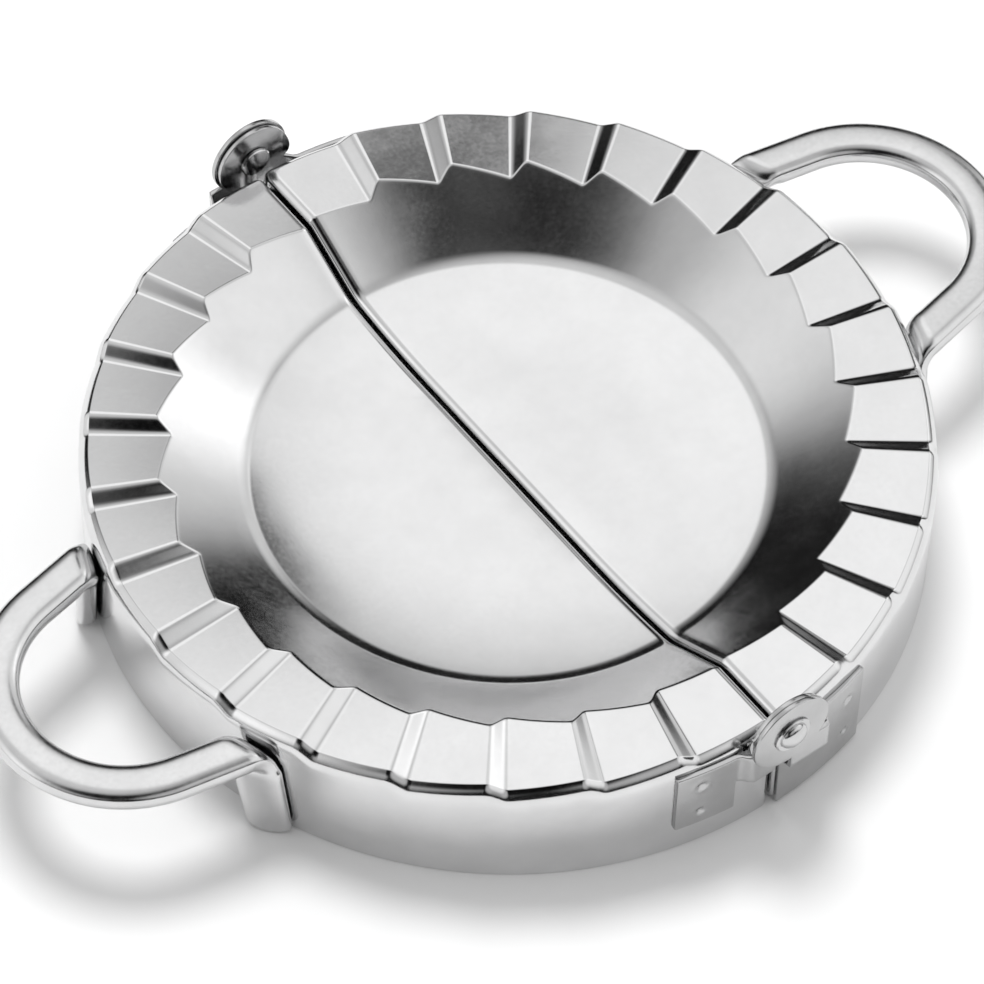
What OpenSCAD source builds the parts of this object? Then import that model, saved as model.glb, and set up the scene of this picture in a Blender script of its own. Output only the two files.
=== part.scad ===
// Hinged empanada press of polished steel sheet, lying open.
// The hinge line runs along Y and the two halves lie on +X and -X.
// Both halves are one stamping, turned half a turn about Z.
// Z is up, and the origin is on the table under the middle of the hinge line.

/* [Shell] */
// Radius of the rim of one half
rim_r = 47.5; // [44:0.5:52]
// Thickness of the shell sheet
sheet_t = 0.5; // [0.4:0.05:0.7]
// Height of the rim at its low corners
rim_z = 15; // [13.5:0.5:18]
// Gap between the straight edges of the two halves
edge_gap = 0.4; // [0.3:0.1:1]
// Radius of the bend from rim to skirt
rim_bend_r = 0.9; // [0.8:0.1:1.4]
// Width of the flange turned in along the straight edge
lip_w = 1.8; // [1.2:0.1:2.6]

/* [Pleats] */
// Number of pleats round one half
pleats = 14; // [10:1:18]
// Climb from the low to the high side of a pleat
pleat_h = 1; // [0.6:0.1:1.4]
// Angle that one riser between pleats takes up
riser_deg = 3.2; // [2.4:0.2:4.4]
// Share of its climb that the last pleat at the rear makes
last_climb = 0.5; // [0.4:0.1:1]

/* [Dish] */
// Radius where the rim's low corners meet the dish wall
dish_r = 37.2; // [35:0.2:39]
// Depth of the dish below the rim's low corners
dish_depth = 6; // [5:0.5:8]
// Slope of the dish wall
wall_deg = 31; // [28:1:38]
// Height of the dish floor's edge above its level middle
floor_rise = 1.2; // [0.8:0.2:1.6]
// Slope of the dish floor at its edge
floor_deg = 9; // [7:1:12]
// Radius of the bend from rim to dish wall
brow_r = 0.9; // [0.8:0.1:1.4]
// Radius of the bend between dish wall and floor
floor_bend_r = 5; // [3:1:8]

/* [Hinge] */
// Gap between the nested rims when the press is shut
shut_gap = 1.1; // [0.8:0.1:1.8]
// Thickness of a hinge leaf
leaf_t = 0.6; // [0.5:0.05:0.8]
// Space between the skirt and the inner ear
ear_standoff = 1; // [0.9:0.1:1.4]
// Gap between faces that turn on each other
face_gap = 0.1; // [0.08:0.02:0.2]
// Radius of the outer ear
outer_ear_r = 5; // [4.6:0.1:5.4]
// Radius of the inner ear
inner_ear_r = 4.7; // [4.2:0.1:5]
// Bottom of the outer leaf's plate
outer_plate_z0 = 0.4; // [0.2:0.1:3]
// Top of the outer leaf's plate
outer_plate_z1 = 13; // [12:0.2:13.4]
// Reach of the outer leaf's plate along the skirt
outer_plate_w = 13; // [12:0.5:15]
// Width of the raised pad under the outer ear
pad_w = 5.4; // [5.2:0.2:6.4]
// Height of the foot of the raised pad
pad_foot_z = 8.2; // [7.6:0.2:8.6]
// Length of the slopes that lead to the raised pad
pad_slope = 1; // [0.8:0.2:2.4]
// Nearest edge of the inner leaf's plate to the hinge line
inner_plate_near = 5.6; // [5.2:0.2:6.2]
// Farthest edge of the inner leaf's plate from the hinge line
inner_plate_far = 12.6; // [11.5:0.2:14]
// Bottom of the inner leaf's plate
inner_plate_z0 = 4.5; // [3.5:0.5:6]
// Top of the inner leaf's plate
inner_plate_z1 = 13.9; // [13:0.1:14]
// Bottom of the inner leaf's narrow neck
neck_z0 = 9.4; // [8.8:0.2:10]
// Distance of the neck's free end from the hinge line
neck_foot_x = 1.2; // [1:0.1:1.6]
// Distance of the outer plate's spot welds from the hinge line
outer_weld_x = 10.4; // [9:0.2:11.4]
// Depth of the upper spot welds below the outer plate's top
outer_weld_drop = 3; // [2.5:0.5:4]
// Distance between the two spot welds on the outer plate
outer_weld_pitch = 6; // [4:0.5:7]
// Depth of the upper spot welds below the inner plate's top
inner_weld_drop = 2.4; // [2:0.2:3]
// Distance between the two spot welds on the inner plate
inner_weld_pitch = 4.8; // [4:0.2:5]
// Radius of a spot weld's dimple
weld_r = 0.7; // [0.5:0.1:0.9]

/* [Rivets] */
// Radius of the rivet's shank
rivet_r = 1.2; // [1:0.1:1.5]
// Running clearance of the shank in the inner ear, on radius
rivet_play = 0.05; // [0.03:0.01:0.08]
// Radius of the outer head's flange
head_r = 2.3; // [2:0.1:2.6]
// Thickness of the outer head's flange
head_t = 0.35; // [0.3:0.05:0.5]
// Height of the dome on the outer head
dome_h = 0.8; // [0.5:0.1:1]
// Width of the flat ring round the dome
head_ring_w = 0.6; // [0.4:0.1:0.8]
// Radius of the closing head inside
tail_r = 1.9; // [1.7:0.1:2.1]
// Thickness of the closing head inside
tail_t = 0.5; // [0.4:0.05:0.6]

/* [Handles] */
// Reach of a handle beyond the skirt
handle_reach = 20.2; // [17:0.2:24]
// Radius of the handle's loop on its middle line
loop_r = 14; // [12.5:0.1:15.5]
// Angle by which each leg spreads towards the skirt
leg_deg = 11; // [8:1:14]
// Width of the flattened tube
tube_w = 4.9; // [4.2:0.1:5.4]
// Depth of the flattened tube
tube_d = 2.9; // [2.6:0.1:3.2]
// Wall of the flattened tube
tube_wall = 0.6; // [0.5:0.05:0.65]
// Radius of the tube's rounded corners
tube_corner_r = 1.3; // [1:0.1:1.4]
// Height of the handle's top
handle_z = 14.1; // [13:0.1:14.2]
// Radius of the top where the tube turns down
fold_r = 2.6; // [1.8:0.1:2.7]
// Radius of the crease under that turn
crease_r = 0.8; // [0.6:0.1:1.2]
// Direction of the tabs from the handle's axis, seen from the skirt's middle
tab_deg = 19.5; // [18:0.5:21]
// Lean of the tabs away from the handle's axis
tab_lean = 9; // [6:1:12]
// Width of the tabs at their lower ends
tab_w = 5; // [4.8:0.1:5.6]
// Depth of the tabs, where the tube is pressed flatter, in their middle
tab_d = 2.1; // [1.9:0.1:2.4]
// Turn of the tabs' outer faces away from the handle's axis
tab_turn = 16; // [0:2:18]
// Height of the tabs' lower ends
tab_z = 0.4; // [0.2:0.1:3]
// Gap between the tabs' rounded edges and the skirt
tab_seat = 0.02; // [0.02:0.01:0.06]

/* [Hidden] */
$fn = 96;
steel = "gainsboro";
dull_steel = "silver";
edge_x = edge_gap / 2;
hinge_z = rim_z + pleat_h / 2 + shut_gap / 2;
pitch_deg = 180 / pleats;
floor_z = rim_z - dish_depth;
// Where the lines of the dish wall and of the floor's edge meet, and the bend between them
toe_r = dish_r - (dish_depth - floor_rise) / tan(wall_deg);
toe_z = floor_z + floor_rise;
toe_t = floor_bend_r * tan((wall_deg - floor_deg) / 2);
// The floor curves up from its level middle to the end of that bend
bowl_end = toe_r - toe_t * cos(floor_deg);
bowl_w = (floor_rise - toe_t * sin(floor_deg)) / tan(floor_deg / 2);
bowl_r = bowl_w / sin(floor_deg);
inner_ear_y = rim_r + ear_standoff;
outer_ear_y = inner_ear_y + leaf_t + face_gap;
outer_face_y = outer_ear_y + leaf_t;
pad_near = edge_x + face_gap;
over = 1;

// Sheet profile: each entry is [radius, height, normal angle] on the upper face,
// from the foot of the skirt over the rim and down the wall to the dish floor.
bend_steps = 3;
brow_steps = 2;
toe_steps = 2;
bowl_steps = 3;
function brow_t(w) = brow_r * tan(w / 2);
function profile(lift) = let(
    top = rim_z + lift,
    brow_x = dish_r + lift / tan(wall_deg) + brow_t(wall_deg),
    toe_x = bowl_end - floor_bend_r * sin(floor_deg),
    toe_y = toe_z - toe_t * sin(floor_deg) + floor_bend_r * cos(floor_deg)
  ) concat(
    [[rim_r, 0, 0]],
    [for (i = [0 : bend_steps]) let(a = 90 * i / bend_steps)
      [rim_r - rim_bend_r + rim_bend_r * cos(a), top - rim_bend_r + rim_bend_r * sin(a), a]],
    [for (i = [0 : brow_steps]) let(a = 90 + wall_deg * i / brow_steps)
      [brow_x + brow_r * cos(a), top - brow_r + brow_r * sin(a), a]],
    [for (i = [0 : toe_steps]) let(a = 90 + wall_deg + (floor_deg - wall_deg) * i / toe_steps)
      [toe_x - floor_bend_r * cos(a), toe_y - floor_bend_r * sin(a), a]],
    [for (i = [1 : bowl_steps]) let(a = 90 + floor_deg * (1 - i / bowl_steps))
      [bowl_end - bowl_w - bowl_r * cos(a), floor_z + bowl_r - bowl_r * sin(a), a]]
  );

// Pleat stations: [angle from +X, lift as a share of the pleat's climb]
riser_shape = [[-0.5, 1], [-0.2, 0.82], [0.2, 0.18], [0.5, 0]];
panel_steps = 3;
panel_deg = pitch_deg - riser_deg;
function panel_station(k, i) = let(s = i / panel_steps)
  [-90 + k * pitch_deg + riser_deg / 2 + s * panel_deg, s];
cut = riser_deg / 2 / pitch_deg;
rear_lift = last_climb * (1 - cut);
function end_station(k, i) = let(s = i / panel_steps)
  k == 0 ? [-90 + s * (pitch_deg - riser_deg / 2), cut + s * (1 - cut)]
         : [-90 + k * pitch_deg + riser_deg / 2 + s * (pitch_deg - riser_deg / 2), s * rear_lift];
function is_end(k) = k == 0 || k == pleats - 1;
function riser_stations(k) = [for (p = riser_shape) [-90 + k * pitch_deg + p[0] * riser_deg, p[1]]];
function pleat_stations() = concat(
    [for (i = [0 : panel_steps - 1]) end_station(0, i)],
    [for (k = [1 : pleats - 1]) each concat(
      riser_stations(k),
      [for (i = [1 : panel_steps - 1]) k == pleats - 1 ? end_station(k, i) : panel_station(k, i)])],
    [end_station(pleats - 1, panel_steps)]
  );

// One half's sheet, as one skin with a face each side
module sheet_skin() {
  stations = pleat_stations();
  rows = [for (s = stations) profile(s[1] * pleat_h)];
  n = len(stations);
  m = len(rows[0]);
  function at(j, p, depth) =
    let(r = p[0] - depth * cos(p[2]), z = p[1] - depth * sin(p[2]), a = stations[j][0])
    [edge_x + r * cos(a), r * sin(a), z];
  upper = [for (j = [0 : n - 1]) each [for (p = rows[j]) at(j, p, 0)]];
  lower = [for (j = [0 : n - 1]) each [for (p = rows[j]) at(j, p, sheet_t)]];
  middle = [[edge_x, 0, floor_z], [edge_x, 0, floor_z - sheet_t]];
  low = n * m;
  mid_top = 2 * n * m;
  mid_low = mid_top + 1;
  function id(j, i) = j * m + i;
  faces = concat(
    [for (j = [0 : n - 2]) each [for (i = [0 : m - 2]) each [
      [id(j, i), id(j, i + 1), id(j + 1, i + 1)],
      [id(j, i), id(j + 1, i + 1), id(j + 1, i)],
      [low + id(j, i), low + id(j + 1, i + 1), low + id(j, i + 1)],
      [low + id(j, i), low + id(j + 1, i), low + id(j + 1, i + 1)]]]],
    [for (j = [0 : n - 2]) each [
      [id(j, m - 1), mid_top, id(j + 1, m - 1)],
      [low + id(j, m - 1), low + id(j + 1, m - 1), mid_low],
      [id(j, 0), id(j + 1, 0), low + id(j + 1, 0), low + id(j, 0)]]],
    [for (i = [0 : m - 2]) each [
      [id(0, i), low + id(0, i), low + id(0, i + 1), id(0, i + 1)],
      [id(n - 1, i), id(n - 1, i + 1), low + id(n - 1, i + 1), low + id(n - 1, i)]]],
    [[id(0, m - 1), low + id(0, m - 1), mid_low, mid_top],
     [id(n - 1, m - 1), mid_top, mid_low, low + id(n - 1, m - 1)]]
  );
  polyhedron(concat(upper, lower, middle), faces, convexity = 6);
}

// Flange turned in along the straight edge: a band under the sheet that follows its profile
module edge_flange() {
  wall_shift = lip_w * tan(wall_deg / 2);
  function outer_line(lift, s) = [for (p = profile(lift))
    [s * (p[0] - sheet_t / 2 * cos(p[2])), p[1] - sheet_t / 2 * sin(p[2])]];
  function inner_line(lift, s) = let(top = rim_z + lift - lip_w) [
    [s * (rim_r - lip_w), 0],
    [s * (rim_r - lip_w), top],
    [s * (dish_r + lift / tan(wall_deg) + wall_shift), top],
    [s * (toe_r + wall_shift), toe_z - lip_w],
    [s * (bowl_end - bowl_w), floor_z - lip_w]
  ];
  function reversed(list) = [for (i = [len(list) - 1 : -1 : 0]) list[i]];
  translate([edge_x, 0, 0])
    rotate([90, 0, 90])
      linear_extrude(sheet_t)
        polygon(concat(
          outer_line(0, -1), reversed(outer_line(rear_lift * pleat_h, 1)),
          inner_line(rear_lift * pleat_h, 1), reversed(inner_line(0, -1))));
}

module half_shell() {
  color(steel)
    union() {
      sheet_skin();
      edge_flange();
    }
}

// Handle, a flattened tube: loop, two legs, and tabs turned down along the skirt.
// Its rings are listed from the loop's outermost point to the foot of the tab on +Y.
loop_steps = 12;
corner_steps = 3;
fold_angles = [0, 0, 30, 60, 90, 90];
fold_last = len(fold_angles) - 1;
loop_x = rim_r + handle_reach - tube_w / 2 - loop_r;
loop_end = 90 - leg_deg;
leg_x = loop_x + loop_r * cos(loop_end);
leg_y = loop_r * sin(loop_end);
// Angle between a leg and the line square to its fold
skew = leg_deg + tab_deg;
fold_out = tab_d + crease_r;
tab_top_z = handle_z - tube_d - crease_r;
leg_len = (leg_x * cos(tab_deg) + leg_y * sin(tab_deg) - rim_r - fold_out) / cos(skew);
// Places of the tube's middle along the skirt, where the turn starts, bends and ends
fold_start = leg_y * cos(tab_deg) - leg_x * sin(tab_deg) + leg_len * sin(skew);
fold_bend = fold_start + (fold_out - fold_r) * tan(skew);
fold_arc = PI / 2 * fold_r + handle_z - fold_r - tab_top_z;
fold_end = fold_bend + fold_arc * tan((skew + tab_lean) / 2);
tab_mid = fold_end + (tab_top_z - tab_z) * tan(tab_lean);

// Points of the tube's rounded section: [sideways, depth below its top]
function section(half_w, depth, r) = [
  for (q = [0 : 3]) each [for (i = [0 : corner_steps])
    let(a = 90 * (q + i / corner_steps))
    [(q == 0 || q == 3 ? 1 : -1) * (half_w - r) + r * cos(a),
     (q < 2 ? r : depth - r) - r * sin(a)]]
];

// Ring in the loop or the leg: middle point, sideways direction, wall taken off
function flat_ring(x, y, side, t) = [
  for (p = section(tube_w / 2 - t, tube_d - 2 * t, tube_corner_r - t))
    [edge_x + x + p[0] * side[0], y + p[0] * side[1], handle_z - t - p[1]]
];

// Ring in the fold or the tab: upper and lower point as [distance from the skirt, height],
// place and half width along the skirt, wall taken off, and a share that grows from 0 to 1
// over the fold: how far the ring has the tab's curve, depth and turned face
function skirt_ring(top, low, mid, half_w, t, share) = let(
    depth = tube_d + share * (tab_d - tube_d),
    corner = min(tube_corner_r, depth / 2)
  ) [
  for (p = section(half_w - t, depth - 2 * t, corner - t))
    let(s = p[1] / (depth - 2 * t), along = mid + p[0],
        bow = share * (rim_r - sqrt(pow(rim_r, 2) - pow(along, 2))),
        face = share * s * p[0] * tan(tab_turn),
        out = rim_r + tab_seat + top[0] + s * (low[0] - top[0]) - bow - face)
    [edge_x + out * cos(tab_deg) - along * sin(tab_deg),
     out * sin(tab_deg) + along * cos(tab_deg),
     top[1] + s * (low[1] - top[1])]
];

function fold_top(k, t) =
  k == 0 ? [fold_out, handle_z - t]
  : k == fold_last ? [t, tab_top_z]
  : let(a = fold_angles[k], r = fold_r - t) [fold_r - r * sin(a), handle_z - fold_r + r * cos(a)];
function fold_low(k, t) = let(a = 90 * k / fold_last, r = crease_r + t)
  [fold_out - r * sin(a), tab_top_z + r * cos(a)];
function fold_mid(k) = k == 0 ? fold_start
  : fold_bend + (fold_end - fold_bend) * (k - 1) / (fold_last - 1);
fold_half_w = tube_w / 2 / cos(skew);

function half_rings(t) = concat(
    [for (i = [0 : loop_steps]) let(a = loop_end * i / loop_steps)
      flat_ring(loop_x + loop_r * cos(a), loop_r * sin(a), [cos(a), sin(a)], t)],
    [for (k = [0 : fold_last])
      skirt_ring(fold_top(k, t), fold_low(k, t), fold_mid(k), fold_half_w, t, k / fold_last)],
    [skirt_ring([t, tab_z], [tab_d - t, tab_z], tab_mid, tab_w / 2, t, 1)]
  );
function mirrored(ring) = [for (p = ring) [p[0], -p[1], p[2]]];
function all_rings(t) = let(half = half_rings(t), last = len(half) - 1) concat(
    [for (j = [last : -1 : 1]) mirrored(half[j])],
    half
  );

module half_handle() {
  outside = all_rings(0);
  inside = all_rings(tube_wall);
  n = len(outside);
  m = len(outside[0]);
  low = n * m;
  function id(j, i) = j * m + (i % m);
  function quad(a, b, c, d) = [[a, b, c], [a, c, d]];
  faces = concat(
    [for (j = [0 : n - 2]) each [for (i = [0 : m - 1]) each concat(
      quad(id(j, i), id(j, i + 1), id(j + 1, i + 1), id(j + 1, i)),
      quad(low + id(j, i), low + id(j + 1, i), low + id(j + 1, i + 1), low + id(j, i + 1)))]],
    [for (i = [0 : m - 1]) each concat(
      quad(id(0, i), low + id(0, i), low + id(0, i + 1), id(0, i + 1)),
      quad(id(n - 1, i), id(n - 1, i + 1), low + id(n - 1, i + 1), low + id(n - 1, i)))]
  );
  color(dull_steel)
    polyhedron(concat([for (r = outside) each r], [for (r = inside) each r]), faces, convexity = 8);
}

// Where the hinge's parts touch the skirt of the right half
module skirt_core() {
  translate([edge_x, 0, -over])
    cylinder(r = rim_r, h = rim_z + 2 * over, $fn = 180);
}

// Block that trims the leaves of the front hinge off level at a height
module trim_above(z) {
  translate([-rim_r, -2 * rim_r, z])
    cube([2 * rim_r, 2 * rim_r, rim_r]);
}

// Block that trims the outer leaf of the front hinge off towards the hinge line
module hinge_side(near) {
  translate([near - 3 * over, -outer_face_y - over, 0])
    cube([3 * over, outer_face_y, hinge_z]);
}

// A plate bent to the skirt of the half on +X, at its front end, between two distances
// from the hinge line. It reaches into the skirt, which is then cut out of it.
module saddle(near, far, z0, z1) {
  a0 = acos((far - edge_x) / rim_r);
  a1 = acos((near - edge_x) / rim_r);
  translate([edge_x, 0, z0])
    rotate([0, 0, -a1])
      rotate_extrude(angle = a1 - a0, $fn = 180)
        translate([rim_r - over, 0])
          square([leaf_t + over, z1 - z0]);
}

// Round disc about the hinge axis at the front, from depth y0 outwards
module axis_disc(y0, thick, r) {
  translate([0, -y0, hinge_z])
    rotate([90, 0, 0])
      cylinder(r = r, h = thick);
}

// Shallow dimples of two spot welds on a plate of the half on +X
module weld_marks(x, upper_z, pitch) {
  a = acos((x - edge_x) / rim_r);
  ball_r = 3 * weld_r;
  lift = sqrt(pow(ball_r, 2) - pow(weld_r, 2));
  for (z = [upper_z, upper_z - pitch])
    translate([edge_x, 0, z])
      rotate([0, 0, -a])
        translate([rim_r + leaf_t + lift, 0, 0])
          sphere(ball_r, $fn = 64);
}

// The raised pad under the outer ear: a block with two sloping sides
module pad_block(inset) {
  root_y = rim_r - over;
  foot_y = rim_r + leaf_t;
  rise = outer_face_y - foot_y;
  x0 = pad_near - (inset > 0 ? 2 : 1) * over;
  z1 = outer_plate_z1 + 2 * over;
  shift = inset * tan((90 - atan(pad_slope / rise)) / 2 );
  intersection() {
    translate([x0, 0, 0])
      rotate([90, 0, 90])
        linear_extrude(pad_w + pad_slope + 3 * over)
          polygon([
            [-root_y, pad_foot_z - over],
            [-foot_y + inset, pad_foot_z + shift],
            [-outer_face_y + inset, pad_foot_z + pad_slope + shift],
            [-outer_face_y + inset, z1],
            [-root_y, z1]
          ]);
    translate([0, 0, pad_foot_z - over])
      linear_extrude(z1 - pad_foot_z + over)
        polygon([
          [x0, -root_y],
          [pad_w + pad_slope + over, -root_y],
          [pad_w + pad_slope - shift, -foot_y + inset],
          [pad_w - shift, -outer_face_y + inset],
          [x0, -outer_face_y + inset]
        ]);
  }
}

// Outer leaf, on the front end of the right half: plate, raised pad and ear
module outer_leaf() {
  color(dull_steel) difference() {
    union() {
      difference() {
        union() {
          saddle(pad_near - over, outer_plate_w, outer_plate_z0, outer_plate_z1 + over);
          pad_block(0);
        }
        pad_block(leaf_t);
        skirt_core();
        hinge_side(pad_near);
        trim_above(outer_plate_z1);
      }
      axis_disc(outer_ear_y, leaf_t, outer_ear_r);
    }
    axis_disc(outer_ear_y - over, leaf_t + 2 * over, rivet_r);
    weld_marks(outer_weld_x, outer_plate_z1 - outer_weld_drop, outer_weld_pitch);
  }
}

// Distance of the front of the skirt, or of a face outside it, from the X axis
function skirt_y(x, r) = sqrt(pow(r, 2) - pow(x - edge_x, 2));

// Inner leaf, on the front end of the left half: plate, joggled neck and ear
module inner_leaf() {
  near = inner_plate_near;
  root = near + leaf_t;
  neck_end = near - ear_standoff - leaf_t;
  inside_end = neck_end + leaf_t / 3;
  color(dull_steel) difference() {
    union() {
      difference() {
        union() {
          mirror([1, 0, 0])
            saddle(near, inner_plate_far, inner_plate_z0, inner_plate_z1 + over);
          translate([0, 0, neck_z0])
            linear_extrude(inner_plate_z1 + over - neck_z0)
              polygon([
                [-root, -skirt_y(root, rim_r) + over],
                [-root, -skirt_y(root, rim_r + leaf_t / 2)],
                [-neck_end, -inner_ear_y - leaf_t],
                [-neck_foot_x, -inner_ear_y - leaf_t],
                [-neck_foot_x, -inner_ear_y],
                [-inside_end, -inner_ear_y],
                [-near, -skirt_y(near, rim_r) + over]
              ]);
        }
        mirror([1, 0, 0]) skirt_core();
        trim_above(inner_plate_z1);
      }
      axis_disc(inner_ear_y, leaf_t, inner_ear_r);
    }
    axis_disc(inner_ear_y - over, leaf_t + 2 * over, rivet_r + rivet_play);
    mirror([1, 0, 0])
      weld_marks((near + inner_plate_far) / 2 + weld_r,
        inner_plate_z1 - inner_weld_drop, inner_weld_pitch);
  }
}

// Rivet of the front hinge: closing head inside, shank, and a domed head outside
module rivet() {
  tail_y = inner_ear_y - face_gap - tail_t;
  dome_base_r = head_r - head_ring_w;
  dome_r = (pow(dome_base_r, 2) + pow(dome_h, 2)) / (2 * dome_h);
  color(steel) union() {
    axis_disc(tail_y, tail_t, tail_r);
    axis_disc(tail_y, outer_face_y - tail_y, rivet_r);
    axis_disc(outer_face_y, head_t, head_r);
    intersection() {
      axis_disc(outer_face_y, head_t + dome_h, dome_base_r);
      translate([0, -(outer_face_y + head_t + dome_h - dome_r), hinge_z])
        sphere(dome_r);
    }
  }
}

// The other half, or the other hinge
module turned() {
  rotate([0, 0, 180]) children();
}

half_shell();  // right_shell
turned() half_shell();  // left_shell
half_handle();  // right_handle
turned() half_handle();  // left_handle
outer_leaf();  // front_outer_leaf
inner_leaf();  // front_inner_leaf
turned() outer_leaf();  // rear_outer_leaf
turned() inner_leaf();  // rear_inner_leaf
rivet();  // front_rivet
turned() rivet();  // rear_rivet
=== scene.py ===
import math

import bmesh
import bpy
from mathutils import Matrix, Vector, noise
from mathutils.geometry import delaunay_2d_cdt


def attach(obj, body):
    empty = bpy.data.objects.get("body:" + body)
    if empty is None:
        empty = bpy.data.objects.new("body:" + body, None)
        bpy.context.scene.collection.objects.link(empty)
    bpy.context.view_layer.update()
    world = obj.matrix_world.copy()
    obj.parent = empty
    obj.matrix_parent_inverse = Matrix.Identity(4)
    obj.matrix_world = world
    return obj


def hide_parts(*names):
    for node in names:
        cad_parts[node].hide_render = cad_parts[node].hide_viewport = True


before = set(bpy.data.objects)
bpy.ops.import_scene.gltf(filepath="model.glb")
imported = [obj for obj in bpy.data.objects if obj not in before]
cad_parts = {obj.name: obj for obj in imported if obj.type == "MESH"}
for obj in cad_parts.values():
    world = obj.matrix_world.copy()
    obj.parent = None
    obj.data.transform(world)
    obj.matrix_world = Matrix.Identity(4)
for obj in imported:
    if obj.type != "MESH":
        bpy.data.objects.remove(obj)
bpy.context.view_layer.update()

MM = 0.001

# Shell
RIM_R = 47.5
SHEET_T = 0.5
RIM_Z = 15.0
EDGE_X = 0.2
LIP_W = 1.8
PLEATS = 14
PLEAT_H = 1.0
RISER_DEG = 3.2
DISH_R = 37.2
DISH_DEPTH = 6.0
WALL_DEG = 31.0
FLOOR_RISE = 1.2
FLOOR_DEG = 9.0
BROW_R = 0.9
FLOOR_BEND_R = 5.0
PITCH_DEG = 180 / PLEATS
FLOOR_Z = RIM_Z - DISH_DEPTH
WALL_TAN = math.tan(math.radians(WALL_DEG))
HALF_WALL_TAN = math.tan(math.radians(WALL_DEG / 2))
# Bend between dish wall and floor, and the floor's curve up from its level middle
FLOOR_SIN = math.sin(math.radians(FLOOR_DEG))
FLOOR_COS = math.cos(math.radians(FLOOR_DEG))
TOE_TANGENT = FLOOR_BEND_R * math.tan(math.radians((WALL_DEG - FLOOR_DEG) / 2))
BOWL_END = DISH_R - (DISH_DEPTH - FLOOR_RISE) / WALL_TAN - TOE_TANGENT * FLOOR_COS
BOWL_W = (FLOOR_RISE - TOE_TANGENT * FLOOR_SIN) / math.tan(math.radians(FLOOR_DEG / 2))
BOWL_R = BOWL_W / FLOOR_SIN
FLOOR_R = BOWL_END - BOWL_W
# The rim's outer bend: tight beside the pleats, then wide down to the skirt
CREASE_BEND_R = 0.25
SIDE_BEND_R = 2.2
SIDE_BEND_DEG = 60.0
# Share of a riser that is rounded at each end
RISER_BLEND = 0.3
# Share of its climb that the last pleat makes
LAST_CLIMB = 0.5
# Outer radius of the bend along the straight edge
EDGE_BEND_R = 1.0
# Rounding of cut edges
CUT_R = 0.12
# Slow waves in the stamped sheet: their height, their breadth, and the layer of noise used
SHEET_WAVE = 0.02
WAVE_BREADTH = 9
WAVE_LAYER = 3.7
# Distances over which the waves grow from the rim's bend and from the straight edge's bend
WAVE_FADE_RIM = 2
WAVE_FADE_EDGE = 3

# Hinge
SHUT_GAP = 1.1
HINGE_Z = RIM_Z + PLEAT_H / 2 + SHUT_GAP / 2
LEAF_T = 0.6
EAR_STANDOFF = 1.0
FACE_GAP = 0.1
OUTER_EAR_R = 5.0
INNER_EAR_R = 4.7
OUTER_PLATE_Z = (0.4, 13.0)
OUTER_PLATE_W = 13.0
PAD_NEAR = EDGE_X + FACE_GAP
PAD_W = 5.4
PAD_FOOT_Z = 8.2
PAD_SLOPE = 1.0
OUTER_WELD_X = 10.4
# Depths of the spot welds below the top of their plate
OUTER_WELD_DROPS = (3, 9)
INNER_WELD_DROPS = (2.4, 7.2)
INNER_PLATE_X = (5.6, 12.6)
INNER_PLATE_Z = (4.5, 13.9)
NECK_Z0 = 9.4
NECK_FOOT_X = 1.2
# A spot weld's dimple, and the faint ring round it: height as a share of the dimple's depth,
# distance and width as shares of its radius
WELD_R = 0.7
WELD_DEPTH = 0.28
WELD_RING_HEIGHT = 0.2
WELD_RING_AT = 1.25
WELD_RING_W = 0.25
# Rounding of the leaves' square edges, and the share of the pad's slope and of the neck's
# joggle that is rounded at each end
LEAF_ROUND = 0.09
PAD_BLEND = 0.25
JOGGLE_BLEND = 0.3
INNER_EAR_Y = RIM_R + EAR_STANDOFF
OUTER_EAR_Y = INNER_EAR_Y + LEAF_T + FACE_GAP
OUTER_FACE_Y = OUTER_EAR_Y + LEAF_T

# Rivet
RIVET_R = 1.2
RIVET_PLAY = 0.05
HEAD_R = 2.3
HEAD_T = 0.35
DOME_H = 0.8
HEAD_RING_W = 0.6
# Groove between the head's ring and its dome
GROOVE_W = 0.12
GROOVE_D = 0.06
# Place on the dome's curve where it rises out of the groove, in degrees from its foot
DOME_START_DEG = 8
TAIL_R = 1.9
TAIL_T = 0.5
# Flat ring of the closing head, and how far its middle is pressed in
TAIL_RING_W = 0.4
TAIL_HOLLOW = 0.05
RIVET_BEVEL = 0.12

# Handle
HANDLE_REACH = 20.2
LOOP_R = 14.0
LEG_DEG = 11.0
TUBE_W = 4.9
TUBE_D = 2.9
TUBE_WALL = 0.6
# Power of the curve that the tube's section follows: 2 is an oval
TUBE_SQUARENESS = 3.0
HANDLE_Z = 14.1
FOLD_R = 2.6
CREASE_R = 0.8
# Share of the turn from leg to tab that lies before its round part, and as much after it
TURN_LEAD = 0.2
TAB_DEG = 19.5
TAB_LEAN = 9.0
TAB_W = 5.0
TAB_D = 2.1
TAB_TURN = 16.0
TAB_FOOT_R = 0.8
TAB_Z = 0.4
TAB_SEAT = 0.02

# Numbers of steps in the meshes
RISER_STEPS = 12
SKIRT_STEPS = 12
SIDE_BEND_STEPS = 8
CREASE_BEND_STEPS = 4
BROW_STEPS = 6
FLOOR_BEND_STEPS = 8
BOWL_STEPS = 10
FLOOR_LINE_STEPS = 24
LIP_STEPS = 3
EDGE_BEND_STEPS = 6
TUBE_STEPS = 48
LOOP_STEPS = 36
TURN_STEPS = 20
TAB_FOOT_STEPS = 5
HOLE_STEPS = 40
OUTER_EAR_STEPS = 72
INNER_EAR_STEPS = 68
RIVET_STEPS = 64
DOME_STEPS = 10
ROUND_STEPS = 3
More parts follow.
